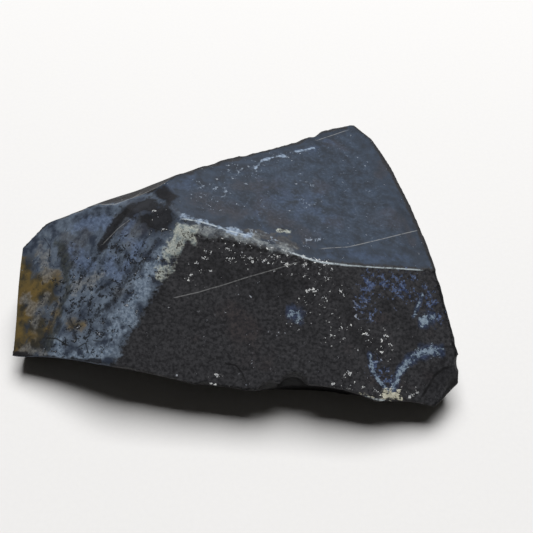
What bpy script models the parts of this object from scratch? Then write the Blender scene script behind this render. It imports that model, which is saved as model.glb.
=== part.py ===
"""Black silica: one chunk of black flint, broken on every side, lying on its flat underside.

Blender 4.5, metres, +Z up. The length runs along X: the thin, weathered end is at -X and the
broad end at +X. The long dark faces look towards -Y, the blunt broken back towards +Y.
The origin is the middle of the stone's bounding box, on the surface that it rests on.

The stone is made as it broke: a rough block loses its sides to flat fracture faces, then
shallow round flakes are struck off, and last the surface gets its low, uneven relief.
"""

import math

import bmesh
import bpy
from mathutils import Matrix, Vector

MM = 0.001

OBJECT_NAME = "black_silica"
STONE = "stone"
CUTTERS = "flake_cutters"

FLINT_COLOUR = (0.045, 0.055, 0.075, 1.0)
FLINT_ROUGHNESS = 0.55

# The block that the stone is struck from: its size, and a point deep inside the stone.
BLOCK = Vector((80.0, 70.0, 50.0)) * MM
BLOCK_FLOOR = -1.0 * MM
HEART = Vector((0.0, 0.0, 7.0)) * MM

# The corners where the fracture faces meet, in millimetres.
CORNERS = {
    "peak": (-5.6, -6.2, 17.6),
    "crown_front": (-5.9, -4.3, 18.2),
    "bevel_end": (4.5, -8.2, 16.7),
    "ridge_bend": (12.0, -10.1, 15.8),
    "right_shoulder": (27.8, -9.1, 13.0),
    "right_waist": (27.1, -3.4, 12.5),
    "right_bulge": (26.0, 3.2, 11.9),
    "back_shoulder": (24.1, 11.7, 11.3),
    "back_turn": (21.7, 18.6, 10.9),
    "back_corner": (19.2, 21.8, 11.0),
    "back_lip": (15.8, 21.4, 11.6),
    "crown_back": (-9.0, 3.4, 17.5),
    "left_back": (-26.3, -0.2, 12.0),
    "left_tip": (-29.8, -2.5, 9.6),
    "heel": (-30.0, -16.9, 3.3),
    "left_knee": (-14.2, -20.8, 7.8),
    "front_toe": (2.3, -23.6, 6.0),
    "front_right_toe": (26.6, -25.2, 3.4),
    "right_toe": (31.3, -21.2, 4.8),
    "back_foot_left": (-26.3, 5.6, 5.0),
    "back_foot_right": (19.7, 25.6, 5.0),
}

# Fracture faces that are the flat through three corners.
FLATS = {
    "crown": ("crown_front", "right_shoulder", "back_corner"),
    "crown_bevel": ("crown_front", "peak", "bevel_end"),
    "front_left": ("peak", "ridge_bend", "front_toe"),
    "front_right": ("ridge_bend", "right_shoulder", "front_right_toe"),
    "left_slope": ("peak", "left_knee", "left_tip"),
    "back": ("left_back", "crown_back", "back_lip"),
    "right_front": ("right_waist", "right_shoulder", "right_toe"),
    "under_front": ("heel", "front_toe", "front_right_toe"),
}

# Steep fracture faces below an edge between two corners, and how far the foot spreads
# outwards from upright, in degrees. A negative spread is an undercut.
WALLS = {
    "left_end": ("left_tip", "heel", -6.0),
    "left_back_corner": ("left_tip", "left_back", 12.0),
    "back_foot": ("back_foot_left", "back_foot_right", -24.0),
    "back_end": ("back_lip", "back_corner", 24.0),
    "right_back": ("back_corner", "back_turn", 14.0),
    "right_turn": ("back_turn", "back_shoulder", 10.0),
    "right_upper": ("back_shoulder", "right_bulge", 7.0),
    "right_middle": ("right_bulge", "right_waist", 7.0),
    "right_corner": ("right_toe", "front_right_toe", -24.0),
}

# Flakes struck off: where on the stone, which way the scar faces, its width and its depth.
FLAKES = {
    "peak_chip": ((-9.4, -2.0, 18.1), (-0.36, 0.12, 0.92), 8.0, 0.6),
    "under_knee": ((-18.0, -20.2, 5.2), (-0.11, -0.82, -0.57), 28.0, 1.2),
    "under_toe": ((12.0, -24.8, 5.8), (-0.11, -0.82, -0.57), 17.0, 1.75),
    "rim_step": ((5.9, -24.0, 5.9), (-0.11, -0.82, -0.57), 4.4, 1.6),
    "front_notch": ((8.6, -23.3, 6.5), (-0.11, -0.82, -0.57), 3.8, 1.9),
    "notch_foot": ((8.4, -23.5, 4.4), (-0.11, -0.82, -0.57), 4.6, 2.6),
    "toe_scar": ((30.1, -22.9, 4.0), (0.42, -0.52, 0.74), 7.0, 0.6),
    "back_rim_chip": ((-13.8, 1.9, 16.2), (-0.3, 0.5, 0.81), 11.0, 0.6),
    "back_corner_chip": ((16.4, 20.6, 11.7), (-0.1, 0.5, 0.86), 7.0, 0.35),
    "back_rim_flake": ((8.3, 15.8, 13.0), (-0.55, 0.8, 0.2), 21.0, 1.0),
    "back_flake_left": ((-19.3, 9.0, 4.5), (-0.42, 0.78, 0.46), 20.0, 1.5),
    "back_flake_middle": ((-2.3, 17.5, 3.6), (-0.28, 0.8, 0.52), 22.0, 1.9),
    "back_flake_right": ((14.2, 25.0, 3.4), (-0.2, 0.85, 0.48), 19.0, 1.5),
    "right_flake_back": ((26.9, 8.5, 2.0), (0.97, 0.25, 0.02), 21.0, 1.3),
    "right_flake_front": ((30.2, -11.0, 1.5), (0.99, -0.05, -0.12), 17.0, 1.1),
    "left_end_flake": ((-30.2, -9.6, 2.4), (-0.98, 0.0, -0.2), 13.0, 0.9),
    "under_corner": ((19.7, -23.0, 1.6), (0.0, -0.8, -0.6), 14.0, 1.0),
    "under_scar_left": ((-17.3, -5.0, 0.0), (-0.15, 0.0, -1.0), 15.0, 0.7),
    "under_scar_right": ((16.7, -10.0, 0.0), (0.1, -0.05, -1.0), 18.0, 0.9),
    "under_scar_back": ((7.7, 17.0, 0.0), (0.0, 0.1, -1.0), 17.0, 0.8),
}
FLAKE_ROUNDNESS = 4

# Relief of the broken surface: how wide its swells are and how high, in millimetres.
RELIEF = {
    "swell": (14.0, 0.45),
    "ripple": (5.0, 0.12),
}
SKIN_CELL = 0.45 * MM
KEPT_FACES = 0.135


def corner(name):
    """Return a named corner in metres."""
    return Vector(CORNERS[name]) * MM


def flat_through(corners):
    """Return a point and the outward direction of the flat through three corners."""
    first, second, third = (corner(name) for name in corners)
    outward = (second - first).cross(third - first).normalized()
    if outward.dot(HEART - first) > 0.0:
        outward.negate()
    return first, outward


def wall_below(start_name, end_name, spread):
    """Return a point and the outward direction of the wall below an edge."""
    start = corner(start_name)
    along = (corner(end_name) - start).normalized()
    outward = along.cross(Vector((0.0, 0.0, 1.0))).normalized()
    if outward.dot(HEART - start) > 0.0:
        outward.negate()
    up = outward.cross(along)
    if up.z < 0.0:
        up.negate()
    lean = math.radians(spread)
    return start, outward * math.cos(lean) + up * math.sin(lean)


def strike_face(bm, point, outward):
    """Break the block along a flat, and close the break."""
    whole = bm.verts[:] + bm.edges[:] + bm.faces[:]
    cut = bmesh.ops.bisect_plane(
        bm, geom=whole, plane_co=point, plane_no=outward, clear_outer=True
    )
    rim = [part for part in cut["geom_cut"] if isinstance(part, bmesh.types.BMEdge)]
    bmesh.ops.edgeloop_fill(bm, edges=rim)
    bmesh.ops.recalc_face_normals(bm, faces=bm.faces[:])


def add_mesh_object(name, bm, collection):
    """Turn a bmesh into an object in a collection."""
    mesh = bpy.data.meshes.new(name)
    bm.to_mesh(mesh)
    bm.free()
    thing = bpy.data.objects.new(name, mesh)
    collection.objects.link(thing)
    return thing


def rough_stone(collection):
    """Return the stone with its flat fracture faces only."""
    bm = bmesh.new()
    bmesh.ops.create_cube(bm, size=1.0)
    bmesh.ops.scale(bm, vec=BLOCK, verts=bm.verts[:])
    bmesh.ops.translate(bm, vec=(0, 0, BLOCK.z / 2 + BLOCK_FLOOR), verts=bm.verts[:])
    for corners in FLATS.values():
        strike_face(bm, *flat_through(corners))
    for wall in WALLS.values():
        strike_face(bm, *wall_below(*wall))
    return add_mesh_object(STONE, bm, collection)


def flake_cutter(name, flake, collection):
    """Add the ball whose cap is the flake that was struck off."""
    place, facing, width, depth = flake
    radius = (width * width / 4 + depth * depth) / (2 * depth)
    centre = Vector(place) + Vector(facing).normalized() * (radius - depth)
    bm = bmesh.new()
    bmesh.ops.create_icosphere(
        bm,
        subdivisions=FLAKE_ROUNDNESS,
        radius=radius * MM,
        matrix=Matrix.Translation(centre * MM),
    )
    cutter = add_mesh_object(name, bm, collection)
    cutter.hide_render = True
    cutter.display_type = "WIRE"


def strike_flakes(stone, cutters):
    """Cut every flake scar out of the stone."""
    for name, flake in FLAKES.items():
        flake_cutter(name, flake, cutters)
    scars = stone.modifiers.new("flake_scars", "BOOLEAN")
    scars.operation = "DIFFERENCE"
    scars.operand_type = "COLLECTION"
    scars.collection = cutters
    scars.solver = "EXACT"


def add_relief(stone):
    """Give the stone an even skin of small faces, and raise the relief in it."""
    skin = stone.modifiers.new("skin", "REMESH")
    skin.mode = "VOXEL"
    skin.voxel_size = SKIN_CELL
    worn = stone.modifiers.new("worn_edges", "SMOOTH")
    worn.factor = 0.5
    worn.iterations = 2
    for name, (width, height) in RELIEF.items():
        pattern = bpy.data.textures.new(name, "CLOUDS")
        pattern.noise_scale = width * MM
        pattern.noise_depth = 1
        relief = stone.modifiers.new(name, "DISPLACE")
        relief.texture = pattern
        relief.texture_coords = "LOCAL"
        relief.strength = height * MM
        relief.mid_level = 0.5
    fewer = stone.modifiers.new("fewer_faces", "DECIMATE")
    fewer.ratio = KEPT_FACES


def settle(stone):
    """Make the modifiers' result the stone's mesh, flat below and centred on the origin."""
    seen = stone.evaluated_get(bpy.context.evaluated_depsgraph_get())
    mesh = bpy.data.meshes.new_from_object(seen)
    bm = bmesh.new()
    bm.from_mesh(mesh)
    strike_face(bm, Vector((0, 0, 0)), Vector((0, 0, -1)))
    bmesh.ops.triangulate(bm, faces=bm.faces[:])
    across = [vertex.co.x for vertex in bm.verts]
    along = [vertex.co.y for vertex in bm.verts]
    middle = Vector(((min(across) + max(across)) / 2, (min(along) + max(along)) / 2, 0))
    bmesh.ops.translate(bm, vec=-middle, verts=bm.verts[:])
    bm.to_mesh(mesh)
    bm.free()
    stone.modifiers.clear()
    stone.data = mesh


def flint_material():
    flint = bpy.data.materials.new("black_flint")
    flint.use_nodes = True
    shader = flint.node_tree.nodes["Principled BSDF"]
    shader.inputs["Base Color"].default_value = FLINT_COLOUR
    shader.inputs["Roughness"].default_value = FLINT_ROUGHNESS
    shader.inputs["Metallic"].default_value = 0.0
    return flint


def new_collection(name):
    collection = bpy.data.collections.new(name)
    bpy.context.scene.collection.children.link(collection)
    return collection


def main():
    for old in list(bpy.data.objects):
        bpy.data.objects.remove(old, do_unlink=True)
    parts = new_collection(OBJECT_NAME)
    cutters = new_collection(CUTTERS)
    stone = rough_stone(parts)
    strike_flakes(stone, cutters)
    add_relief(stone)
    settle(stone)
    stone.data.materials.clear()
    stone.data.materials.append(flint_material())


main()
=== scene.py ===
"""Black silica, dressed: a broken chunk of black flint on a pale floor in soft window light.

Blender 4.5, metres, +Z up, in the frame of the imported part: the thin, weathered end is at -X
and the broad end at +X, the long dark faces look towards -Y and the blunt back towards +Y.

The stone is shaped as it broke. A block loses its sides to flat fractures, round flakes and
small nicks are struck off, and the skin gets the low relief of worn flint. Then its marks are
laid out on the plan of the stone, in millimetres: a mark is a line with a width, and how far
each point of the skin lies inside it is kept as an attribute. The flint's material reads these
attributes, and lays its coats of colour one over another where they say.
"""

import math
import random

import bpy
import numpy as np
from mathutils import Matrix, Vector


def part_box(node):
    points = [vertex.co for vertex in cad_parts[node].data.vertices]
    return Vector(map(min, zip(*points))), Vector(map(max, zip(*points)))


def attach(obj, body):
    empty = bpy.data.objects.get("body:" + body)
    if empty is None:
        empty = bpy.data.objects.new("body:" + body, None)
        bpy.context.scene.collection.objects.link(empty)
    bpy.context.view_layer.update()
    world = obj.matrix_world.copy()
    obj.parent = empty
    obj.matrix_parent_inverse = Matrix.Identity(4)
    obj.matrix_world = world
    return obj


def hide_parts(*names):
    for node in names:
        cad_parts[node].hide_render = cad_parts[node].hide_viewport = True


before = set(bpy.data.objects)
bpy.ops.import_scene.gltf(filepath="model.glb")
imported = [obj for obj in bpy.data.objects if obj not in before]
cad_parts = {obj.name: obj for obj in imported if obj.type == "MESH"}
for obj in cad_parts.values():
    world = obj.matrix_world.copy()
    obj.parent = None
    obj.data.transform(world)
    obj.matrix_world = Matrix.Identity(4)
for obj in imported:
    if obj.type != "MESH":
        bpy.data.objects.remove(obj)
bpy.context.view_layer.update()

MM = 0.001

# The block that the stone is struck from: its size, how low it reaches, and a point deep
# inside the stone.
BLOCK = Vector((80.0, 70.0, 50.0)) * MM
BLOCK_FLOOR = -1.0 * MM
HEART = Vector((0.0, 0.0, 7.0)) * MM

# The corners where the fracture faces meet, in millimetres.
CORNERS = {
    "peak": (-5.6, -6.2, 17.6),
    "crown_front": (-5.9, -4.3, 18.2),
    "bevel_end": (4.5, -8.2, 16.7),
    "ridge_bend": (12.0, -10.1, 15.8),
    "right_shoulder": (27.8, -9.1, 13.0),
    "right_waist": (27.1, -3.4, 12.5),
    "right_bulge": (26.0, 3.2, 11.9),
    "back_shoulder": (24.1, 11.7, 11.3),
    "back_turn": (21.7, 18.6, 10.9),
    "back_corner": (19.2, 21.8, 11.0),
    "back_lip": (15.8, 21.4, 11.6),
    "crown_back": (-9.0, 3.4, 17.5),
    "left_back": (-26.3, -0.2, 12.0),
    "left_tip": (-29.8, -2.5, 9.6),
    "heel": (-30.0, -16.9, 3.3),
    "left_knee": (-14.2, -20.8, 7.8),
    "front_toe": (2.3, -23.6, 6.0),
    "front_right_toe": (26.6, -25.2, 3.4),
    "right_toe": (31.3, -21.2, 4.8),
    "back_foot_left": (-26.3, 5.6, 5.0),
    "back_foot_right": (19.7, 25.6, 5.0),
}

# Fracture faces that are the flat through three corners.
FLATS = {
    "crown": ("crown_front", "right_shoulder", "back_corner"),
    "crown_bevel": ("crown_front", "peak", "bevel_end"),
    "front_left": ("peak", "ridge_bend", "front_toe"),
    "front_right": ("ridge_bend", "right_shoulder", "front_right_toe"),
    "left_slope": ("peak", "left_knee", "left_tip"),
    "back": ("left_back", "crown_back", "back_lip"),
    "right_front": ("right_waist", "right_shoulder", "right_toe"),
    "under_front": ("heel", "front_toe", "front_right_toe"),
}

# Steep fracture faces below an edge between two corners, and how far the foot spreads
# outwards from upright, in degrees. A negative spread is an undercut.
WALLS = {
    "left_end": ("left_tip", "heel", -6.0),
    "left_back_corner": ("left_tip", "left_back", 12.0),
    "back_foot": ("back_foot_left", "back_foot_right", -24.0),
    "back_end": ("back_lip", "back_corner", 24.0),
    "right_back": ("back_corner", "back_turn", 14.0),
    "right_turn": ("back_turn", "back_shoulder", 10.0),
    "right_upper": ("back_shoulder", "right_bulge", 7.0),
    "right_middle": ("right_bulge", "right_waist", 7.0),
    "right_corner": ("right_toe", "front_right_toe", -24.0),
}

# Flakes struck off: where on the stone, which way the scar faces, its width and its depth.
FLAKES = {
    "peak_chip": ((-9.4, -2.0, 18.1), (-0.36, 0.12, 0.92), 8.0, 0.6),
    "under_knee": ((-18.0, -20.2, 5.2), (-0.11, -0.82, -0.57), 28.0, 1.2),
    "under_toe": ((12.0, -24.8, 5.8), (-0.11, -0.82, -0.57), 17.0, 1.75),
    "rim_step": ((5.9, -24.0, 5.9), (-0.11, -0.82, -0.57), 4.4, 1.6),
    "front_notch": ((8.6, -23.3, 6.5), (-0.11, -0.82, -0.57), 3.8, 1.9),
    "notch_foot": ((8.4, -23.5, 4.4), (-0.11, -0.82, -0.57), 4.6, 2.6),
    "toe_scar": ((30.1, -22.9, 4.0), (0.42, -0.52, 0.74), 7.0, 0.6),
    "back_rim_chip": ((-13.8, 1.9, 16.2), (-0.3, 0.5, 0.81), 11.0, 0.6),
    "back_corner_chip": ((16.4, 20.6, 11.7), (-0.1, 0.5, 0.86), 7.0, 0.35),
    "back_rim_flake": ((8.3, 15.8, 13.0), (-0.55, 0.8, 0.2), 21.0, 1.0),
    "back_flake_left": ((-19.3, 9.0, 4.5), (-0.42, 0.78, 0.46), 20.0, 1.5),
    "back_flake_middle": ((-2.3, 17.5, 3.6), (-0.28, 0.8, 0.52), 22.0, 1.9),
    "back_flake_right": ((14.2, 25.0, 3.4), (-0.2, 0.85, 0.48), 19.0, 1.5),
    "right_flake_back": ((26.9, 8.5, 2.0), (0.97, 0.25, 0.02), 21.0, 1.3),
    "right_flake_front": ((30.2, -11.0, 1.5), (0.99, -0.05, -0.12), 17.0, 1.1),
    "left_end_flake": ((-30.2, -9.6, 2.4), (-0.98, 0.0, -0.2), 13.0, 0.9),
    "under_corner": ((19.7, -23.0, 1.6), (0.0, -0.8, -0.6), 14.0, 1.0),
    "under_scar_left": ((-17.3, -5.0, 0.0), (-0.15, 0.0, -1.0), 15.0, 0.7),
    "under_scar_right": ((16.7, -10.0, 0.0), (0.1, -0.05, -1.0), 18.0, 0.9),
    "under_scar_back": ((7.7, 17.0, 0.0), (0.0, 0.1, -1.0), 17.0, 0.8),
    # Finer ones, at the end of the toe and on the back corner.
    "toe_nick": ((30.4, -20.0, 6.2), (0.9, 0.2, 0.4), 2.4, 0.5),
    "worn_corner": ((19.7, 22.0, 11.1), (0.45, 0.7, 0.55), 3.6, 0.5),
}
# How finely the balls that flakes are cut with are divided.
FLAKE_ROUNDNESS = 5

# Small nicks along the edges: the edge's two corners, and how many there are.
NICKED_EDGES = (
    ("left_knee", "front_toe", 5),
    ("front_toe", "front_right_toe", 7),
    ("heel", "left_knee", 4),
    ("left_back", "crown_back", 4),
    ("crown_back", "back_corner", 7),
    ("right_shoulder", "right_toe", 4),
    ("back_foot_left", "back_foot_right", 8),
)
# A nick's least and greatest width in millimetres, and its depth as a share of its width.
NICK_WIDTH = (0.8, 2.2)
NICK_DEPTH = 0.10
# Where a nick falls within its share of the edge, and how far it is tipped down or up.
NICK_SPAN = (0.15, 0.85)
NICK_TIP = (-0.5, 0.3)
NICK_ROUNDNESS = 3
NICK_SEED = 7

# Relief of the broken surface: how wide its swells are and how high, in millimetres.
RELIEF = {
    "swell": (14.0, 0.45),
    "ripple": (5.0, 0.12),
    "pitting": (1.3, 0.035),
}
RELIEF_MIDDLE = 0.5
# The size of the skin's faces, and how much and how often its edges are smoothed.
SKIN_CELL = 0.27 * MM
WEAR = 0.5
WEAR_ROUNDS = 3

# Marks on the plan of the stone, in millimetres: the zone of the surface that the marks of each
# kind stay in, then for each mark half its width and the points of its middle line.
MARKS = {
    "crust": ("old", (
        (1.9, ((-5.6, -6.4), (-6.6, -8.0), (-7.6, -9.4))),
        (0.7, ((-8.2, -10.0), (-9.2, -11.4))),
        (0.5, ((6.8, -4.6), (8.1, -4.5))),
    )),
    "bloom": ("old", (
        (1.0, ((-5.9, -5.6), (-3.3, -5.9), (0.1, -6.3), (3.1, -7.0))),
        (0.8, ((3.1, -7.0), (5.9, -7.9), (8.5, -8.5))),
    )),
    # A pale line along the top of the ridge and the back rim: partly pale crust, partly a painted
    # highlight.
    "crest": ("old", (
        (0.65, ((-6.1, -4.4), (-3.9, -4.6), (-2.0, -5.1), (0.0, -5.8), (2.5, -6.4))),
        (0.32, ((3.5, 7.6), (4.4, 9.6), (5.9, 10.6), (7.9, 11.4))),
        (0.22, ((9.1, 12.6), (10.3, 13.2), (12.3, 14.2))),
    )),
    "brown_crest": ("old", (
        (1.2, ((2.7, -5.6), (5.9, -6.6), (9.1, -7.6))),
    )),
    "gloss": ("front", (
        (2.4, ((28.6, -20.8), (26.6, -22.4))),
        (2.4, ((-3.9, -9.4), (3.3, -11.4), (9.5, -12.6))),
        (2.0, ((14.3, -12.4), (16.7, -17.4), (18.7, -19.0))),
        (1.6, ((20.1, -13.6), (23.3, -15.2), (24.5, -17.4))),
        (1.4, ((-8.7, -12.6), (-10.3, -14.6))),
    )),
    "band": ("old", (
        (1.8, ((-9.1, -8.6), (-11.0, -11.3), (-13.2, -14.6), (-15.9, -18.4))),
        (1.2, ((-15.7, -19.1), (-19.5, -18.9), (-22.9, -18.1))),
        (0.9, ((-23.3, -15.8), (-22.5, -17.7))),
    )),
    "blue": ("left", (
        (1.7, ((-20.3, -1.5), (-17.1, -2.0))),
        (0.9, ((-14.5, -4.6), (-12.6, -2.2))),
        (1.8, ((-21.9, -5.3), (-19.4, -7.3))),
        (1.4, ((-16.6, -7.6), (-14.9, -9.5))),
        (1.2, ((-11.8, -6.3), (-13.8, -9.2))),
    )),
    "bleach": ("left", (
        (1.4, ((-26.6, -3.3), (-26.2, -5.5), (-25.2, -7.1))),
        (0.8, ((-28.7, -9.7), (-27.0, -11.6))),
        (0.8, ((-25.4, -10.1), (-26.8, -13.3))),
        (0.9, ((-28.1, -16.0), (-25.4, -17.3))),
        (1.0, ((-20.6, -9.8), (-17.5, -9.2))),
    )),
    "ochre": ("left", (
        (1.5, ((-29.3, -7.5), (-27.2, -8.6), (-24.5, -8.0))),
        (1.0, ((-29.7, -4.5), (-29.5, -8.3), (-29.7, -11.5), (-29.7, -15.5))),
        (1.0, ((-28.4, -6.5), (-27.4, -10.1), (-28.2, -12.5))),
        (1.3, ((-29.9, -12.1), (-28.3, -14.8))),
        (0.7, ((-23.1, -12.1), (-24.3, -14.4))),
        (0.8, ((-21.3, -14.6), (-19.6, -14.8))),
    )),
    "rust_wash": ("left", (
        (3.0, ((-29.5, -6.1), (-29.5, -10.1), (-29.5, -16.1))),
        (2.4, ((-27.2, -8.4), (-25.2, -9.3))),
        (2.2, ((-26.6, -13.5), (-26.4, -15.5))),
    )),
    "olive": ("left", (
        (0.9, ((-24.0, -3.5), (-22.9, -6.0), (-22.0, -9.9), (-22.9, -13.3), (-24.6, -16.4))),
    )),
    "pitted": ("left", (
        (3.8, ((-21.2, -10.0), (-18.4, -13.7))),
        (1.6, ((-18.6, -10.9), (-14.4, -11.5))),
        (2.0, ((-15.5, -5.9), (-13.0, -8.2))),
        (2.2, ((-21.9, -15.7), (-17.5, -16.2))),
    )),
    "fresh_chip": ("old", (
        (2.2, ((-12.5, -1.0), (-11.1, -1.4), (-9.4, -2.6), (-8.3, -4.2))),
        (1.8, ((-10.9, -3.0), (-9.7, -4.4))),
        (1.1, ((-9.5, 0.8), (-7.9, -0.6))),
        (0.9, ((-13.3, -0.8), (-14.7, -2.0), (-16.3, -4.0), (-17.4, -5.4))),
    )),
    # Near-black strips along the rims: the black of the fresh walls beyond them, partly painted
    # shade where the skin turns away from the light.
    "rim_black_and_shade": ("any", (
        (1.0, ((-19.3, 1.4), (-15.5, 1.4), (-12.9, 2.6), (-9.9, 3.4))),
        (0.9, ((-26.8, 0.2), (-23.1, 1.0), (-19.3, 1.7))),
        (0.8, ((-30.2, -2.4), (-28.6, -1.1), (-26.8, 0.2))),
        (0.35, ((-30.2, -3.0), (-30.3, -9.5), (-30.4, -16.2))),
        (0.5, ((-30.2, -16.6), (-25.3, -18.1), (-20.3, -19.3), (-16.8, -20.1))),
        (0.8, ((-9.3, 3.2), (-2.3, 8.0), (4.7, 12.6))),
        (0.6, ((4.7, 12.6), (9.3, 14.9), (12.9, 18.4), (17.3, 20.8))),
        (0.45, ((22.3, 16.2), (24.1, 11.0), (25.4, 4.6), (26.2, 0.3), (27.1, -5.8))),
    )),
    "groove": ("left", (
        (0.40, ((-14.2, -1.9), (-16.5, -4.8), (-18.5, -7.0), (-20.3, -8.9))),
        (0.55, ((-12.1, -9.1), (-13.3, -10.4), (-15.1, -12.7), (-16.5, -13.6))),
        (0.32, ((-16.5, -13.6), (-18.8, -14.8))),
        (0.30, ((-9.4, -6.3), (-11.8, -9.7))),
        (0.30, ((-17.8, -11.1), (-16.1, -10.6))),
        (0.40, ((-23.7, -11.4), (-24.3, -13.6), (-25.4, -16.5))),
        (0.35, ((-21.5, -13.9), (-20.4, -16.4))),
    )),
    "smoky": ("crown", (
        (2.2, ((-3.9, -0.4), (0.7, -2.4))),
        (2.0, ((1.7, 3.2), (6.3, 4.0))),
        (1.3, ((21.9, 9.6), (22.9, 12.4))),
        (1.8, ((5.9, -2.4), (9.3, -4.2), (10.7, -6.0))),
        (1.0, ((24.3, 1.2), (25.1, -4.6))),
    )),
    # Lighter blue patches of patina on the crown, partly a painted reflection of the sky.
    "blue_patina_and_sky_sheen": ("crown", (
        (3.2, ((6.7, 2.2), (12.3, 0.4))),
        (0.4, ((3.5, 7.8), (4.4, 9.8), (5.9, 10.8))),
        (0.35, ((7.5, 11.1), (9.8, 13.3), (12.6, 14.6))),
        (1.4, ((-7.1, 1.4), (-5.3, 3.0))),
        (0.5, ((3.6, -1.3), (4.1, -3.2), (5.2, -5.3), (6.0, -7.1))),
        (0.9, ((12.1, 13.4), (14.7, 16.6))),
        (1.0, ((13.7, -8.2), (23.7, -7.4))),
    )),
    "frost": ("crown", (
        (1.3, ((-3.7, 2.2), (-2.5, 1.4))),
        (1.1, ((0.5, 6.4), (1.6, 5.6))),
        (0.9, ((-2.9, -0.6), (-0.9, 0.6))),
        (0.6, ((3.3, 7.8), (4.4, 9.8), (5.9, 10.8))),
        (0.5, ((7.7, 11.4), (9.8, 13.3))),
        (0.7, ((9.5, 0.9), (11.5, 1.6))),
        (0.7, ((10.9, 6.4), (11.7, 5.8))),
        (0.6, ((10.1, -6.2), (13.1, -5.4))),
        (0.5, ((3.1, -5.6), (6.5, -6.6))),
    )),
    # White specks of quartz, partly painted glints.
    "quartz_and_glints": ("any", (
        (0.7, ((-4.3, -10.7), (-2.5, -9.5))),
        (0.6, ((-0.3, -8.1), (3.1, -9.6))),
        (0.8, ((5.1, -9.2), (7.9, -9.7), (11.1, -10.6))),
        (0.7, ((12.1, -12.1), (11.9, -13.2))),
        (0.9, ((11.3, -13.8), (9.7, -15.2))),
        (0.6, ((12.8, -10.7), (12.9, -12.0))),
        (0.7, ((15.1, -13.0), (16.9, -15.0))),
        (0.6, ((17.7, -14.2), (18.3, -15.8))),
        (0.8, ((13.5, -17.4), (15.1, -16.8))),
        (0.7, ((17.7, -17.4), (17.9, -18.6))),
        (0.8, ((19.9, -18.1), (20.3, -19.6))),
        (0.6, ((-1.6, -22.7), (-1.3, -23.1))),
        (0.7, ((14.5, -23.4), (16.3, -23.3))),
        (0.7, ((19.1, -23.0), (20.1, -24.2))),
        (0.6, ((22.6, -22.9), (23.6, -23.6))),
        (0.4, ((-10.7, -3.0), (-10.1, -2.4))),
        (0.4, ((-8.9, -5.0), (-8.1, -5.6))),
    )),
    "vein": ("any", (
        (0.55, ((27.9, -18.2), (26.5, -18.5), (25.3, -18.9))),
        (0.42, ((25.3, -18.9), (23.5, -19.9), (22.5, -21.0), (21.9, -22.2), (21.4, -23.6))),
        (0.24, ((18.4, -19.7), (18.7, -21.2), (19.5, -22.4), (20.9, -23.4))),
        (0.55, ((8.4, -15.3), (9.3, -15.8))),
        (0.20, ((25.8, -12.1), (25.2, -13.3), (24.4, -14.8))),
        (0.55, ((25.7, -15.2), (26.9, -14.7))),
    )),
    "blue_cloud": ("front", (
        (1.2, ((20.9, -11.2), (22.3, -11.5), (24.6, -12.0))),
        (0.9, ((17.3, -13.6), (18.3, -12.4), (18.8, -11.2))),
        (0.8, ((17.1, -14.2), (18.5, -15.2))),
        (0.8, ((19.1, -20.8), (21.1, -22.6))),
        (0.9, ((26.7, -12.6), (27.3, -14.0))),
    )),
    "sand": ("any", (
        (0.75, ((20.7, -23.8), (21.9, -23.9))),
        (0.30, ((17.0, -24.2), (18.6, -24.5), (20.1, -24.6))),
    )),
}

# Lines too thin for the skin's own faces: half the width, and the points of each line.
THIN_LINES = {
    "scratch": (
        (0.05, ((-6.8, -13.4), (-3.9, -12.9), (1.3, -11.7), (9.1, -10.0))),
        (0.05, ((12.4, -7.4), (15.6, -6.6))),
        (0.06, ((15.7, -6.6), (20.9, -4.2), (26.1, -1.8))),
        (0.05, ((-13.6, -2.8), (-15.3, -3.6), (-17.1, -5.0))),
        (0.06, ((13.0, 16.4), (15.5, 18.2), (17.9, 20.0))),
        (0.08, ((-20.7, 0.8), (-17.7, 0.4), (-15.7, -0.2), (-13.4, 1.0), (-12.5, 2.4))),
        (0.05, ((-12.7, 1.2), (-9.3, 2.6))),
    ),
    "bruise": (
        (0.09, ((-5.9, -4.5), (-3.9, -4.7), (-2.0, -5.2), (0.0, -5.9), (2.1, -6.3))),
        (0.12, ((8.3, -8.8), (10.8, -9.7), (12.3, -10.0), (15.6, -9.95))),
        (0.08, ((15.6, -9.95), (21.0, -9.6), (25.6, -9.3))),
        (0.10, ((17.3, -24.2), (18.9, -24.5), (20.9, -24.5))),
    ),
    # Dark lines along the cracks and the edges of small steps: painted shade.
    "crack_shade": (
        (0.13, ((29.9, -19.8), (28.3, -20.3), (27.1, -21.2), (26.3, -22.4), (25.4, -23.6))),
        (0.07, ((-0.1, -20.6), (1.1, -20.8), (2.0, -21.7), (2.5, -22.8))),
        (0.08, ((-24.9, -15.4), (-23.3, -15.8), (-21.5, -17.0))),
        (0.07, ((-20.1, -17.6), (-18.9, -17.2), (-18.5, -18.4))),
        (0.06, ((-17.7, -17.2), (-16.1, -17.6))),
        (0.06, ((-26.2, -2.2), (-25.2, -3.6), (-25.3, -5.2))),
    ),
}
# How deep the grooves are, in millimetres.
GROOVE_DEPTH = 0.10
# A gap, in millimetres, that is farther than any line, and the least value of a mark's field.
FAR = 99.0
OUTSIDE = -2.0
# Marks lie only where the skin faces upwards by more than this.
UPWARD = 0.12
# How many rounds of smoothing the skin's sharp edges are told from.
EDGE_SPREAD = 3

# The fracture faces that make up each zone of the surface.
ZONES = {
    "crown": ("crown", "crown_bevel"),
    "front": ("front_left", "front_right"),
    "left": ("left_slope",),
    "old": ("crown", "crown_bevel", "left_slope"),
    "back": ("back", "back_end", "back_foot", "left_back_corner"),
    "right": ("right_front", "right_back", "right_turn", "right_upper", "right_middle"),
}
# How far the weathered rind laps over its zone's border onto the fresh faces, how far from a
# border a zone's depth is told, and the depth over which marks fade out, in millimetres.
RIND_LAP = {"left": 0.5, "old": 0.5}
ZONE_REACH = 3.0
ZONE_FADE = 0.25


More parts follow.
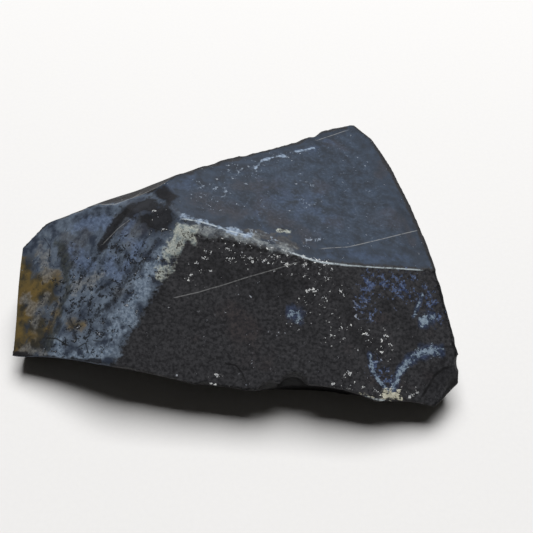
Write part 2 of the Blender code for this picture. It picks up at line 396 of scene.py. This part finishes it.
def corner(name):
    """Return a named corner in metres."""
    return Vector(CORNERS[name]) * MM


def flat_through(corners):
    """Return a point and the outward direction of the flat through three corners."""
    first, second, third = (corner(name) for name in corners)
    outward = (second - first).cross(third - first).normalized()
    if outward.dot(HEART - first) > 0.0:
        outward.negate()
    return first, outward


def wall_below(start_name, end_name, spread):
    """Return a point and the outward direction of the wall below an edge."""
    start = corner(start_name)
    along = (corner(end_name) - start).normalized()
    outward = along.cross(Vector((0.0, 0.0, 1.0))).normalized()
    if outward.dot(HEART - start) > 0.0:
        outward.negate()
    up = outward.cross(along)
    if up.z < 0.0:
        up.negate()
    lean = math.radians(spread)
    return start, outward * math.cos(lean) + up * math.sin(lean)


def fractures():
    """Return the point and outward direction of every fracture face, by name."""
    faces = {name: flat_through(corners) for name, corners in FLATS.items()}
    faces.update((name, wall_below(*wall)) for name, wall in WALLS.items())
    return faces


def break_along(point, outward):
    """Break the stone being edited along a flat, and close the break."""
    bpy.ops.mesh.select_all(action="SELECT")
    bpy.ops.mesh.bisect(plane_co=point, plane_no=outward, use_fill=True, clear_outer=True)


def rough_stone():
    """Return the stone with its flat fracture faces only."""
    bpy.ops.object.select_all(action="DESELECT")
    bpy.ops.mesh.primitive_cube_add(
        size=1.0, location=(0, 0, BLOCK.z / 2 + BLOCK_FLOOR), scale=BLOCK
    )
    stone = bpy.context.object
    stone.name = "flint_chunk"
    bpy.ops.object.transform_apply(location=True, rotation=False, scale=True)
    bpy.ops.object.mode_set(mode="EDIT")
    for point, outward in fractures().values():
        break_along(point, outward)
    bpy.ops.object.mode_set(mode="OBJECT")
    return stone


def flake_ball(place, facing, width, depth, roundness):
    """Add the ball whose cap is a flake, and return it."""
    radius = (width * width / 4 + depth * depth) / (2 * depth)
    centre = Vector(place) + Vector(facing).normalized() * (radius - depth)
    bpy.ops.mesh.primitive_ico_sphere_add(
        subdivisions=roundness, radius=radius * MM, location=centre * MM
    )
    return bpy.context.object


def edge_nicks():
    """Return the small nicks square to their edges, each as place, facing, width and depth."""
    chance = random.Random(NICK_SEED)
    heart = HEART / MM
    nicks = []
    for start, end, count in NICKED_EDGES:
        run = (Vector(CORNERS[end]) - Vector(CORNERS[start])).normalized()
        for number in range(count):
            along = (number + chance.uniform(*NICK_SPAN)) / count
            place = Vector(CORNERS[start]).lerp(Vector(CORNERS[end]), along)
            facing = (place - heart).normalized()
            facing.z += chance.uniform(*NICK_TIP)
            facing -= run * facing.dot(run)
            width = chance.uniform(*NICK_WIDTH)
            nicks.append((place, facing, width, width * NICK_DEPTH))
    return nicks


def strike_flakes(stone):
    """Cut every flake scar and nick out of the stone."""
    scars = [(*flake, FLAKE_ROUNDNESS) for flake in FLAKES.values()]
    scars += [(*nick, NICK_ROUNDNESS) for nick in edge_nicks()]
    for scar in scars:
        ball = flake_ball(*scar)
        cut = stone.modifiers.new("flake_scar", "BOOLEAN")
        cut.operation = "DIFFERENCE"
        cut.object = ball
        cut.solver = "EXACT"
        bpy.context.view_layer.objects.active = stone
        bpy.ops.object.modifier_apply(modifier=cut.name)
        bpy.data.objects.remove(ball)


def wear_skin(stone):
    """Give the stone an even skin of small flat faces, with worn edges and low relief."""
    skin = stone.modifiers.new("skin", "REMESH")
    skin.mode = "VOXEL"
    skin.voxel_size = SKIN_CELL
    worn = stone.modifiers.new("worn_edges", "SMOOTH")
    worn.factor = WEAR
    worn.iterations = WEAR_ROUNDS
    for name, (width, height) in RELIEF.items():
        pattern = bpy.data.textures.new(name, "CLOUDS")
        pattern.noise_scale = width * MM
        pattern.noise_depth = 1
        relief = stone.modifiers.new(name, "DISPLACE")
        relief.texture = pattern
        relief.texture_coords = "LOCAL"
        relief.strength = height * MM
        relief.mid_level = RELIEF_MIDDLE
    for name in [modifier.name for modifier in stone.modifiers]:
        bpy.ops.object.modifier_apply(modifier=name)


def settle(stone):
    """Cut the stone flat below and fit it into the box of the CAD stone.

    The fit stays on the stone as an object, so the points of its mesh stay where the corners
    are. Return how far the stone was moved, in millimetres.
    """
    bpy.ops.object.mode_set(mode="EDIT")
    break_along((0, 0, 0), (0, 0, -1))
    bpy.ops.object.mode_set(mode="OBJECT")
    cad_low, cad_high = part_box("stone")
    skin = np.array([vertex.co for vertex in stone.data.vertices])
    low, high = Vector(skin.min(0)), Vector(skin.max(0))
    fit = Vector([(cad_high[i] - cad_low[i]) / (high[i] - low[i]) for i in range(3)])
    stone.scale = fit
    stone.location = cad_low - low * fit
    return np.array(stone.location) / MM


def line_gaps(plan, line):
    """Return how far each point of the plan is from a line, less than zero on its right side."""
    nearest = np.full(len(plan), FAR)
    for start, end in zip(line, line[1:]):
        step = np.subtract(end, start)
        along = np.clip((plan - start) @ step / (step @ step), 0.0, 1.0)
        gap = plan - (start + along[:, None] * step)
        turned = step[0] * gap[:, 1] - step[1] * gap[:, 0]
        signed = np.copysign(np.hypot(gap[:, 0], gap[:, 1]), turned)
        nearest = np.where(np.abs(signed) < np.abs(nearest), signed, nearest)
    return nearest


def skin_points(stone):
    """Return the skin's points in millimetres, and which way each one faces."""
    points = np.empty(len(stone.data.vertices) * 3)
    stone.data.vertices.foreach_get("co", points)
    facing = np.empty(len(stone.data.vertices) * 3)
    stone.data.vertices.foreach_get("normal", facing)
    return points.reshape(-1, 3) / MM, facing.reshape(-1, 3)


def mark_fields(plan, upward, zones):
    """Return how far each point lies inside each kind of mark: 1 in the middle, 0 at its edge."""
    fields = {}
    for kind, (zone, marks) in MARKS.items():
        inside = [1.0 - np.abs(line_gaps(plan, line)) / half for half, line in marks]
        inside = np.clip(np.max(inside, axis=0), OUTSIDE, 1.0)
        if zone in zones:
            inside = np.minimum(inside, zones[zone] / ZONE_FADE)
        fields[kind] = np.where(upward, np.maximum(inside, OUTSIDE), OUTSIDE)
    return fields


def thin_line_fields(plan, upward):
    """Return each kind of thin line's gap, signed in half widths, and in millimetres."""
    fields = {}
    for kind, lines in THIN_LINES.items():
        gaps = np.array([line_gaps(plan, line) for half, line in lines])
        halves = np.array([half for half, line in lines])
        closest = np.abs(gaps).argmin(axis=0)
        gap = np.take_along_axis(gaps, closest[None, :], axis=0)[0]
        fields[kind + "_across"] = gap / halves[closest]
        fields[kind + "_gap"] = np.where(upward, np.abs(gap), FAR)
    return fields


def zone_fields(points):
    """Return how far, in millimetres, each point lies inside each zone of the surface."""
    depths = {}
    for name, (place, outward) in fractures().items():
        depths[name] = np.abs((points - np.array(place) / MM) @ np.array(outward))
    fields = {}
    for zone, faces in ZONES.items():
        own = np.min([depths[name] for name in faces], axis=0)
        others = np.min([depths[name] for name in depths if name not in faces], axis=0)
        inside = others - own + RIND_LAP.get(zone, 0.0)
        fields[zone] = np.clip(inside, -ZONE_REACH, ZONE_REACH)
    return fields


def edge_field(stone, points, facing):
    """Return how sharply the skin bends outwards at each point, in millimetres."""
    ends = np.empty(len(stone.data.edges) * 2, int)
    stone.data.edges.foreach_get("vertices", ends)
    ends = ends.reshape(-1, 2)
    count = np.bincount(ends.ravel(), minlength=len(points))[:, None]
    smooth = points
    for _ in range(EDGE_SPREAD):
        total = np.zeros_like(points)
        np.add.at(total, ends[:, 0], smooth[ends[:, 1]])
        np.add.at(total, ends[:, 1], smooth[ends[:, 0]])
        smooth = total / count
    return np.einsum("ij,ij->i", points - smooth, facing)


def lay_out_marks(stone, move):
    """Keep every field on the skin as an attribute of the stone's mesh.

    The zones lie as far from their faces as the stone was moved, a third of a millimetre.
    """
    points, facing = skin_points(stone)
    plan = points[:, :2]
    upward = facing[:, 2] > UPWARD
    zones = zone_fields(points - move)
    fields = {
        **mark_fields(plan, upward, zones),
        **thin_line_fields(plan, upward),
        **zones,
        "edge": edge_field(stone, points, facing),
    }
    for name, values in fields.items():
        attribute = stone.data.attributes.new(name, "FLOAT", "POINT")
        attribute.data.foreach_set("value", values.astype(np.float32))


def wear_grooves(stone, move):
    """Press the grooves of the weathered slope into the stone."""
    points, facing = skin_points(stone)
    zones = zone_fields(points - move)
    depth = mark_fields(points[:, :2], facing[:, 2] > UPWARD, zones)["groove"]
    grooves = stone.vertex_groups.new(name="grooves")
    for index in np.flatnonzero(depth > 0.0):
        grooves.add([int(index)], float(depth[index]), "REPLACE")
    worn = stone.modifiers.new("grooves", "DISPLACE")
    worn.vertex_group = grooves.name
    worn.strength = -GROOVE_DEPTH * MM
    worn.mid_level = 0.0
    bpy.context.view_layer.objects.active = stone
    bpy.ops.object.modifier_apply(modifier=worn.name)
    stone.vertex_groups.clear()


def add(tree, kind, inputs, out=0, **settings):
    """Add a node with its settings, link or set its inputs, and return one of its outputs."""
    node = tree.nodes.new(kind)
    for name, value in settings.items():
        setattr(node, name, value)
    for socket, value in inputs.items():
        if isinstance(value, bpy.types.NodeSocket):
            tree.links.new(value, node.inputs[socket])
        else:
            node.inputs[socket].default_value = value
    return node.outputs[out]


def colour(code):
    """Return an sRGB hex colour as linear red, green, blue and alpha."""
    steps = [int(code[i:i + 2], 16) / 255 for i in (1, 3, 5)]
    return (*[c / 12.92 if c <= 0.04045 else ((c + 0.055) / 1.055) ** 2.4 for c in steps], 1.0)


# Noise patterns that the flint uses: the size of a grain in millimetres, detail, roughness.
NOISES = {
    "cloud": (7.0, 2.0, 0.5),
    "mottle": (1.7, 4.0, 0.62),
    "streak": (1.1, 4.0, 0.65),
    "grain": (0.42, 2.0, 0.6),
    "fleck": (0.9, 3.0, 0.85),
}
# The span that most of a noise's values lie in.
NOISE_MIDDLE = (0.36, 0.64)
# Streaks run down the weathered slope: which way on the plan, and how far they are drawn out.
STREAK_WAY = math.radians(51)
STREAK_LENGTH = 4.5

# What covers the black flint, from the bottom up. Each coat says where it lies (the attribute,
# and its values where the coat begins and is whole), which noise frays its edge and by how
# much, how much of what is below it covers, its two colours with the noise that mixes them,
# its roughness, and how far it stands above the skin in millimetres: less than zero for pits.
COATS = (
    ("front", 0.0, 0.3, "grain", 0.2, 1.0, "#212124", "#3b3b3e", "grain", 0.55, 0.0),
    ("front", 3.1, 4.2, "cloud", 2.4, 0.7, "#2c2a2e", "#403a3a", "grain", 0.58, 0.0),
    ("front", 4.8, 5.1, "fleck", 4.0, 0.6, "#38383c", "#5a5a60", "grain", 0.5, 0.0),
    ("back", 0.0, 0.4, "grain", 0.2, 1.0, "#111114", "#202024", "grain", 0.55, 0.0),
    ("back", 2.9, 4.0, "cloud", 3.4, 0.6, "#1c1f25", "#2b303a", "mottle", 0.62, 0.0),
    ("right", 0.0, 0.4, "grain", 0.2, 1.0, "#151517", "#242427", "grain", 0.52, 0.0),
    ("right", 3.0, 4.2, "cloud", 2.6, 0.5, "#232529", "#30343b", "mottle", 0.60, 0.0),
    ("edge", 0.05, 0.14, "grain", 0.06, 0.35, "#37373a", "#505054", "grain", 0.60, 0.0),
    ("gloss", 0.0, 1.0, "mottle", 1.0, 0.6, "#161618", "#242427", "grain", 0.5, 0.0),
    # The crown's bluish grey patina: its blue is partly a painted reflection of the sky.
    ("crown", 0.0, 0.3, "grain", 0.2, 1.0, "#1a232f", "#2b3849", "mottle", 0.64, 0.0),
    ("crown", 3.1, 4.2, "cloud", 2.6, 0.6, "#22242c", "#32333e", "mottle", 0.64, 0.0),
    ("crown", 2.9, 3.9, "grain", 2.0, 0.35, "#354152", "#424f60", "mottle", 0.64, 0.0),
    ("crown", 4.7, 5.2, "fleck", 4.0, 0.6, "#3e4a5b", "#515f72", "grain", 0.64, 0.0),
    ("left", 0.0, 0.3, "grain", 0.2, 1.0, "#29313f", "#626e7d", "mottle", 0.68, 0.01),
    ("left", 2.9, 4.0, "streak", 2.6, 0.5, "#3e495b", "#74818f", "grain", 0.68, 0.015),
    ("left", 3.1, 4.2, "cloud", 3.0, 0.5, "#302f36", "#55534f", "mottle", 0.7, 0.0),
    ("smoky", 0.0, 1.0, "mottle", 1.2, 0.6, "#1c1d21", "#2c2a31", "grain", 0.60, 0.0),
    # Lighter blue patina on the crown, partly a painted reflection of the sky.
    ("blue_patina_and_sky_sheen", 0.0, 1.2, "mottle", 1.6, 0.5, "#28354c", "#384860", "grain", 0.62, 0.0),
    ("blue", 0.0, 0.9, "mottle", 1.4, 0.6, "#3b4965", "#627390", "grain", 0.64, 0.01),
    ("band", 0.0, 0.9, "mottle", 1.2, 0.8, "#505e6f", "#8290a0", "grain", 0.70, 0.02),
    ("rust_wash", -0.2, 0.6, "mottle", 0.7, 0.95, "#201e16", "#3a3321", "mottle", 0.74, 0.0),
    ("ochre", -0.3, 1.0, "mottle", 1.1, 0.75, "#4f4629", "#6e592a", "mottle", 0.76, 0.01),
    ("bleach", 0.0, 0.9, "mottle", 1.4, 0.6, "#4e4f52", "#7e7e7b", "grain", 0.74, 0.015),
    ("olive", 0.0, 0.9, "streak", 1.4, 0.75, "#181a19", "#2e2f25", "grain", 0.68, -0.01),
    ("pitted", 1.55, 1.85, "fleck", 5.0, 0.9, "#0d0f13", "#181b22", "grain", 0.62, -0.05),
    ("fresh_chip", 0.0, 0.6, "mottle", 0.9, 0.94, "#0d0d10", "#1d1c1f", "mottle", 0.85, 0.0),
    ("groove", 0.0, 0.7, "grain", 1.2, 0.7, "#0f1115", "#1c1f26", "grain", 0.66, -0.03),
    ("brown_crest", 0.0, 0.8, "mottle", 1.4, 0.7, "#32302f", "#4c4944", "grain", 0.76, 0.0),
    ("bloom", 0.0, 0.8, "mottle", 1.4, 0.85, "#4a4f55", "#8c9192", "fleck", 0.80, 0.02),
    ("crust", 0.0, 0.7, "mottle", 1.3, 0.92, "#747f81", "#c4c6ba", "fleck", 0.82, 0.05),
    ("crust", 1.7, 1.95, "fleck", 4.5, 0.85, "#121316", "#202124", "grain", 0.72, -0.05),
    # A pale line along the top of the ridge and the back rim: partly pale crust, partly a painted
    # highlight.
    ("crest", 0.0, 0.9, "mottle", 1.6, 0.85, "#56657a", "#98a8bc", "grain", 0.72, 0.02),
    # Near-black strips along the rims: the black of the fresh walls, partly painted shade.
    ("rim_black_and_shade", -0.3, 0.3, "mottle", 0.9, 0.92, "#0e0e11", "#1b1b20", "grain", 0.6, 0.0),
    ("frost", 2.75, 3.1, "fleck", 7.0, 0.6, "#606a78", "#96a2b2", "grain", 0.62, 0.01),
    # White specks of quartz, partly painted glints.
    ("quartz_and_glints", 2.85, 3.1, "fleck", 7.0, 1.0, "#9c9ea4", "#f0f2f0", "grain", 0.40, 0.03),
    ("blue_cloud", 0.6, 1.6, "fleck", 4.0, 0.75, "#28375a", "#63769c", "grain", 0.58, 0.0),
    ("vein", -0.9, 0.4, "mottle", 1.2, 0.6, "#243046", "#3a4a6c", "grain", 0.62, 0.0),
    ("vein", 0.1, 0.9, "fleck", 1.8, 0.85, "#4c6078", "#98a9b8", "fleck", 0.66, 0.02),
    ("sand", 0.1, 0.8, "fleck", 1.8, 0.95, "#807e68", "#d2cfbc", "fleck", 0.82, 0.03),
)
# The thin lines: attribute, colour, cover and the noise that breaks the line up.
LINE_COATS = (
    ("scratch", "#8f9090", 0.6, "fleck"),
    ("bruise", "#aab4ba", 0.9, "fleck"),
    # Dark lines along the cracks and small steps: painted shade.
    ("crack_shade", "#0b0b0d", 0.85, "mottle"),
)
# Where a line is whole and where it ends: in half widths from its middle, and in millimetres.
LINE_WHOLE, LINE_END = 0.5, 1.6
LINE_WHOLE_GAP, LINE_END_GAP = 0.35, 0.6
# How much of a line is left where the noise breaks it up, and the noise's value where it doesn't.
LINE_LEFT = 0.25
LINE_UNBROKEN = 0.6
# Fresh breaks: the two blacks that the grain mixes, and how dull and how bright they shine.
FRESH_FLINT = ("#0c0c0e", "#17171a")
FRESH_ROUGHNESS = 0.55
FLINT_IOR = 1.54
SPECULAR = 0.25
# How far the grain and the mottle of the skin stand up, in millimetres.
SKIN_HEIGHTS = {"grain": 0.009, "mottle": 0.014}
# Sockets of a Mix node: its factor, then what it mixes and gives, for colours and for numbers.
FACTOR = 0
UNDER, OVER, MIXED = 6, 7, 2
UNDER_NUMBER, OVER_NUMBER = 2, 3


def flint_noises(tree, place):
    """Return the noise patterns, each stretched so that most of it runs from 0 to 1."""
    drawn_out = add(
        tree, "ShaderNodeMapping",
        {
            "Vector": place,
            "Rotation": (0.0, 0.0, STREAK_WAY),
            "Scale": (STREAK_LENGTH, 1.0, STREAK_LENGTH),
        },
        vector_type="TEXTURE",
    )
    low, high = NOISE_MIDDLE
    noises = {}
    for name, (size, detail, rough) in NOISES.items():
        where = drawn_out if name == "streak" else place
        noise = add(
            tree, "ShaderNodeTexNoise",
            {"Vector": where, "Scale": 1.0 / (size * MM), "Detail": detail, "Roughness": rough},
        )
        noises[name] = add(
            tree, "ShaderNodeMapRange",
            {"Value": noise, "From Min": low, "From Max": high},
            clamp=False,
        )
    return noises


def coat_mask(tree, noises, field, begins, whole, frayed_by, fray, cover):
    """Return where a coat lies, from 0 to what it covers at most."""
    where = add(tree, "ShaderNodeAttribute", {}, out="Fac", attribute_name=field)
    frayed = add(
        tree, "ShaderNodeMath", {0: noises[frayed_by], 1: fray, 2: where},
        operation="MULTIPLY_ADD",
    )
    return add(
        tree, "ShaderNodeMapRange",
        {
            "Value": frayed,
            "From Min": begins + fray / 2,
            "From Max": whole + fray / 2,
            "To Max": cover,
        },
        interpolation_type="SMOOTHSTEP",
    )


def line_mask(tree, noises, kind, cover, broken_by):
    """Return where the thin lines of a kind lie, from 0 to what they cover at most."""
    across = add(tree, "ShaderNodeAttribute", {}, out="Fac", attribute_name=kind + "_across")
    gap = add(tree, "ShaderNodeAttribute", {}, out="Fac", attribute_name=kind + "_gap")
    beside = add(tree, "ShaderNodeMath", {0: across}, operation="ABSOLUTE")
    on_line = add(
        tree, "ShaderNodeMapRange",
        {"Value": beside, "From Min": LINE_END, "From Max": LINE_WHOLE, "To Max": cover},
        interpolation_type="SMOOTHSTEP",
    )
    near = add(
        tree, "ShaderNodeMapRange",
        {"Value": gap, "From Min": LINE_END_GAP, "From Max": LINE_WHOLE_GAP},
    )
    broken = add(
        tree, "ShaderNodeMapRange",
        {"Value": noises[broken_by], "From Max": LINE_UNBROKEN, "To Min": LINE_LEFT},
    )
    here = add(tree, "ShaderNodeMath", {0: on_line, 1: near}, operation="MULTIPLY")
    return add(tree, "ShaderNodeMath", {0: here, 1: broken}, operation="MULTIPLY")


def fresh_flint(tree, noises):
    """Return the colour, roughness and height of flint where it is freshly broken."""
    dark, pale = FRESH_FLINT
    surface = add(
        tree, "ShaderNodeMix",
        {FACTOR: noises["grain"], UNDER: colour(dark), OVER: colour(pale)},
        out=MIXED, data_type="RGBA",
    )
    height = 0.0
    for name, rise in SKIN_HEIGHTS.items():
        height = add(
            tree, "ShaderNodeMath", {0: noises[name], 1: rise, 2: height},
            operation="MULTIPLY_ADD",
        )
    return surface, FRESH_ROUGHNESS, height


def lay_coat(tree, noises, below, coat):
    """Lay a coat over the colour, roughness and height below it, and return the three."""
    surface, rough, height = below
    *lies, cover, dark, pale, mixed_by, dull, stands = coat
    mask = coat_mask(tree, noises, *lies, cover)
    tint = add(
        tree, "ShaderNodeMix",
        {FACTOR: noises[mixed_by], UNDER: colour(dark), OVER: colour(pale)},
        out=MIXED, data_type="RGBA",
    )
    surface = add(
        tree, "ShaderNodeMix", {FACTOR: mask, UNDER: surface, OVER: tint},
        out=MIXED, data_type="RGBA",
    )
    rough = add(tree, "ShaderNodeMix", {FACTOR: mask, UNDER_NUMBER: rough, OVER_NUMBER: dull})
    height = add(
        tree, "ShaderNodeMath", {0: mask, 1: stands, 2: height}, operation="MULTIPLY_ADD"
    )
    return surface, rough, height


def weathered_black_flint():
    """Black flint, broken by hand and long in the open.

    Fresh breaks are near black with a dull, waxy gloss. The oldest faces have a bluish grey
    patina, mottled like smoke, with iron stains, pale lime crust and specks of quartz. Some of
    the colour is painted light: the crown's blue is partly a painted reflection of the sky, the
    pale line along the ridge and some white specks are partly painted highlights and glints, and
    the dark lines of the cracks are painted shade, as are the dark strips along the rims in part.
    """
    flint = bpy.data.materials.new("weathered_black_flint")
    flint.use_nodes = True
    tree = flint.node_tree
    noises = flint_noises(tree, add(tree, "ShaderNodeTexCoord", {}, out="Object"))
    skin = fresh_flint(tree, noises)
    for coat in COATS:
        skin = lay_coat(tree, noises, skin, coat)
    surface, rough, height = skin
    for kind, tint, cover, broken_by in LINE_COATS:
        mask = line_mask(tree, noises, kind, cover, broken_by)
        surface = add(
            tree, "ShaderNodeMix", {FACTOR: mask, UNDER: surface, OVER: colour(tint)},
            out=MIXED, data_type="RGBA",
        )
    shader = tree.nodes["Principled BSDF"]
    bump = add(tree, "ShaderNodeBump", {"Height": height, "Distance": MM, "Strength": 1.0})
    tree.links.new(surface, shader.inputs["Base Color"])
    tree.links.new(rough, shader.inputs["Roughness"])
    tree.links.new(bump, shader.inputs["Normal"])
    shader.inputs["IOR"].default_value = FLINT_IOR
    shader.inputs["Specular IOR Level"].default_value = SPECULAR
    return flint


# The floor: a sheet of paper two metres wide, its two whites with the size of the fibres that
# mix them in millimetres, and how dull it is.
FLOOR_SIZE = 2.0
PAPER = ("#dedddc", "#e2e1e0")
PAPER_FIBRES = 0.6
PAPER_ROUGHNESS = 0.95
PAPER_SPECULAR = 0.1


def matt_white_paper():
    """Heavy matt paper, rolled smooth: it shows as an even, faintly warm white."""
    paper = bpy.data.materials.new("matt_white_paper")
    paper.use_nodes = True
    tree = paper.node_tree
    place = add(tree, "ShaderNodeTexCoord", {}, out="Object")
    fibres = add(
        tree, "ShaderNodeTexNoise",
        {"Vector": place, "Scale": 1.0 / (PAPER_FIBRES * MM), "Detail": 3.0},
    )
    dark, pale = PAPER
    tone = add(
        tree, "ShaderNodeMix", {FACTOR: fibres, UNDER: colour(dark), OVER: colour(pale)},
        out=MIXED, data_type="RGBA",
    )
    shader = tree.nodes["Principled BSDF"]
    tree.links.new(tone, shader.inputs["Base Color"])
    shader.inputs["Roughness"].default_value = PAPER_ROUGHNESS
    shader.inputs["Specular IOR Level"].default_value = PAPER_SPECULAR
    return paper


# The camera: the point it looks at, how far away it is and how steeply it looks down, and its
# lens and sensor in millimetres.
LOOKS_AT = Vector((4.75, 1.45, 0.0)) * MM
CAMERA_DISTANCE = 115.5 * MM
CAMERA_ELEVATION = math.radians(52.5)
CAMERA_LENS = 50.0
SENSOR = 36.0

# The window: a large soft light high behind the stone, in metres and watts. The room round it
# is dim and faintly warm.
WINDOW_PLACE = Vector((0.05, 0.43, 0.87))
WINDOW_SIZE = 0.68
WINDOW_POWER = 14.4
ROOM_COLOUR = "#efe9df"
ROOM_STRENGTH = 0.035


def lay_floor():
    """Lay the sheet of paper that the stone is on."""
    bpy.ops.mesh.primitive_plane_add(size=FLOOR_SIZE)
    floor = bpy.context.object
    floor.name = "pale_floor"
    floor.data.materials.append(matt_white_paper())


def open_window():
    """Add the window's light, turned towards the stone."""
    bpy.ops.object.light_add(type="AREA", location=WINDOW_PLACE)
    window = bpy.context.object
    window.name = "window_light"
    window.data.size = WINDOW_SIZE
    window.data.energy = WINDOW_POWER
    window.rotation_euler = (-WINDOW_PLACE).to_track_quat("-Z", "Y").to_euler()


def light_room():
    """Fill the shadows with the room's dim light."""
    room = bpy.data.worlds.new("dim_room")
    bpy.context.scene.world = room
    room.use_nodes = True
    background = room.node_tree.nodes["Background"]
    background.inputs["Color"].default_value = colour(ROOM_COLOUR)
    background.inputs["Strength"].default_value = ROOM_STRENGTH


def set_up_camera():
    """Add the camera, with colours shown as they are."""
    away = Vector((0.0, -math.cos(CAMERA_ELEVATION), math.sin(CAMERA_ELEVATION)))
    bpy.ops.object.camera_add(
        location=LOOKS_AT + away * CAMERA_DISTANCE,
        rotation=(math.pi / 2 - CAMERA_ELEVATION, 0.0, 0.0),
    )
    camera = bpy.context.object
    camera.data.lens = CAMERA_LENS
    camera.data.sensor_width = SENSOR
    camera.data.clip_start = MM
    bpy.context.scene.camera = camera
    bpy.context.scene.view_settings.view_transform = "Standard"


def main():
    """Make the stone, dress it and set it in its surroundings."""
    stone = rough_stone()
    strike_flakes(stone)
    wear_skin(stone)
    move = settle(stone)
    wear_grooves(stone, move)
    lay_out_marks(stone, move)
    stone.data.materials.append(weathered_black_flint())
    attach(stone, "root")
    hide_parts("stone")
    lay_floor()
    open_window()
    light_room()
    set_up_camera()


main()
